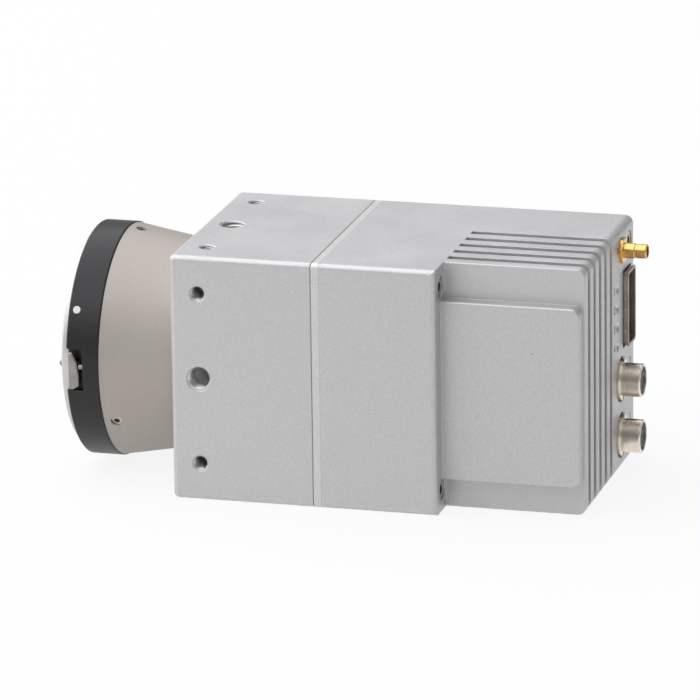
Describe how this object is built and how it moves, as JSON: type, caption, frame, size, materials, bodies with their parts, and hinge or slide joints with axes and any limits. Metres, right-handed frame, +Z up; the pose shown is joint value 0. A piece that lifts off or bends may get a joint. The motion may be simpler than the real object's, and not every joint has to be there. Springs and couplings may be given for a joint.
{
  "type": "machine vision camera",
  "caption": "Square industrial camera with a bayonet lens adapter, a finned rear housing, circular connectors, a coaxial jack and a fibre module cage.",
  "frame": {"origin": "under the middle of the whole camera, on the plane of the face that it stands on", "axes": "+Z up, -Y out of the lens, +Y out of the rear connectors, +X out of the side with the raised pad"},
  "size_m": [0.066, 0.1482, 0.066],
  "materials": {
    "housing_aluminium": "bead blasted and clear anodised, fine grain",
    "spacer_aluminium": "machined and clear anodised, a little paler",
    "cone_aluminium": "turned and anodised, warm grey",
    "screw_steel": "steel socket screws with a warm tint",
    "black_anodised": "satin black anodised",
    "white_enamel": "white paint fill",
    "bayonet_plate": "satin chrome plate",
    "black_paint": "matt black paint",
    "lever_steel": "stamped steel, polished edges",
    "spring_steel": "drawn wire",
    "filter_glass": "coated filter glass",
    "clear_glass": "clear lid glass",
    "ceramic": "pale ceramic package",
    "board_green": "solder mask over glass cloth",
    "standoff_brass": "nickel washed brass posts",
    "connector_plastic": "moulded black plastic",
    "flex_film": "amber polyimide film",
    "chip_black": "moulded chip packages",
    "thermal_rubber": "soft filled silicone",
    "lamp_clear": "clear moulded lamp parts",
    "cage_steel": "nickel plated sheet, slightly tarnished",
    "connector_nickel": "matt champagne nickel plate",
    "insert_plastic": "dark moulded insert",
    "gold_plate": "bright gold plate",
    "white_dielectric": "white insulator"
  },
  "bodies": {
    "camera": {"front_housing": "housing_aluminium", "spacer_plate": "spacer_aluminium", "rear_housing": "housing_aluminium", "side_housing_screws": "screw_steel", "rear_housing_screws": "screw_steel", "lens_adapter_cone": "cone_aluminium", "cone_set_screws": "screw_steel", "mount_ring": "black_anodised", "index_dot": "white_enamel", "bayonet_flange": "bayonet_plate", "flange_screws": "bayonet_plate", "light_baffle": "black_paint", "release_spring": "spring_steel", "cover_glass": "filter_glass", "glass_retainer": "black_anodised", "image_sensor": "ceramic", "sensor_window": "clear_glass", "sensor_board": "board_green", "sensor_standoffs": "standoff_brass", "sensor_board_screws": "screw_steel", "sensor_connector": "connector_plastic", "processor_connector": "connector_plastic", "sensor_flex_cable": "flex_film", "processor_board": "board_green", "processor_chips": "chip_black", "thermal_pad": "thermal_rubber", "processor_standoffs": "standoff_brass", "board_spacers": "standoff_brass", "board_screws": "screw_steel", "io_board": "board_green", "indicator_board": "board_green", "status_leds": "lamp_clear", "led_light_pipes": "lamp_clear", "fibre_cage": "cage_steel", "cage_connector": "connector_plastic", "upper_connector_shell": "connector_nickel", "lower_connector_shell": "connector_nickel", "connector_inserts": "insert_plastic", "connector_contacts": "gold_plate", "connector_nuts": "connector_nickel", "coax_jack": "gold_plate", "coax_nut": "gold_plate", "coax_dielectric": "white_dielectric", "coax_centre_pin": "gold_plate"},
    "lens_release": {"release_lever": "lever_steel", "lock_pin": "lever_steel", "lever_guide_pin": "lever_steel"}
  },
  "joints": [
    {"name": "lens_release_slide", "type": "slide", "parent": "camera", "child": "lens_release", "axis": [0, 1, 0], "range_m": [0, 0.001], "stiffness_N_per_m": 400, "springref_m": -0.002, "deforming": ["release_spring"]}
  ]
}
